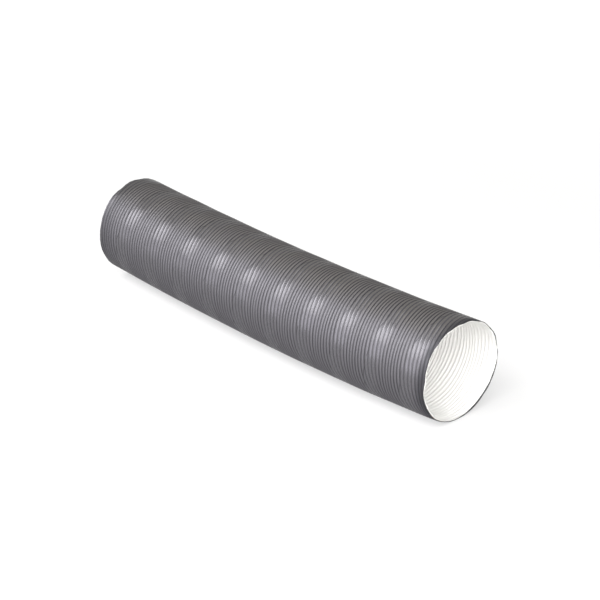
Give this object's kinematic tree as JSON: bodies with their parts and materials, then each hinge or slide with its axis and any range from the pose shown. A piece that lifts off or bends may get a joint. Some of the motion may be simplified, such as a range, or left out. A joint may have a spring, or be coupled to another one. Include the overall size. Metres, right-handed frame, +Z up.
{
  "type": "flexible air duct",
  "caption": "Flexible hot-air duct, a cut length of wound and ribbed laminate, dark grey outside and white inside, gently bent, open at both ends.",
  "frame": {"origin": "middle of the footprint, on the surface that the duct lies on", "axes": "+X along the chord of the bent duct, towards the mouth; +Y the side that the duct bends towards; +Z up"},
  "size_m": [0.3654, 0.0886, 0.0785],
  "materials": {
    "jacket_paper": "dark grey coated paper with a soft sheen",
    "foil": "thin rolled foil",
    "kraft_paper": "plain brown paper",
    "liner_paper": "white coated paper, matt"
  },
  "bodies": {
    "root": {"outer_jacket": "jacket_paper", "foil_ply": "foil", "kraft_ply": "kraft_paper", "inner_liner": "liner_paper"}
  },
  "joints": []
}
